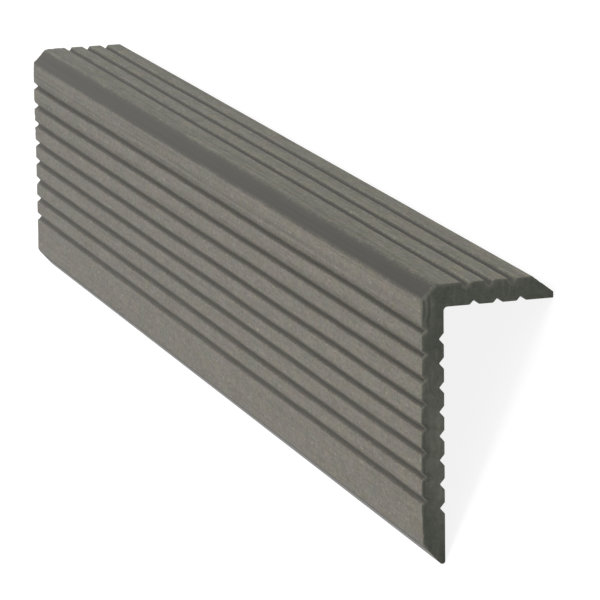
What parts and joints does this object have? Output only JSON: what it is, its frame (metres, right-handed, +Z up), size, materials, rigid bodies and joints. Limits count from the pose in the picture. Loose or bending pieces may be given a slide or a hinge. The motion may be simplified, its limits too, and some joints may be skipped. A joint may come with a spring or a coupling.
{
  "type": "composite decking corner trim",
  "caption": "L-shaped composite corner trim with V grooves along its inner and outer faces, a chamfered corner and bevelled leg tips.",
  "frame": {"origin": "on the floor under the middle of the piece's box, with the trim resting unheld on its two leg tips", "axes": "+X along the length, +Y from the long leg's foot towards the short leg's tip, +Z up"},
  "size_m": [0.385, 0.0768, 0.0331],
  "materials": {
    "composite": "matte"
  },
  "bodies": {
    "root": {"corner_trim": "composite"}
  },
  "joints": []
}
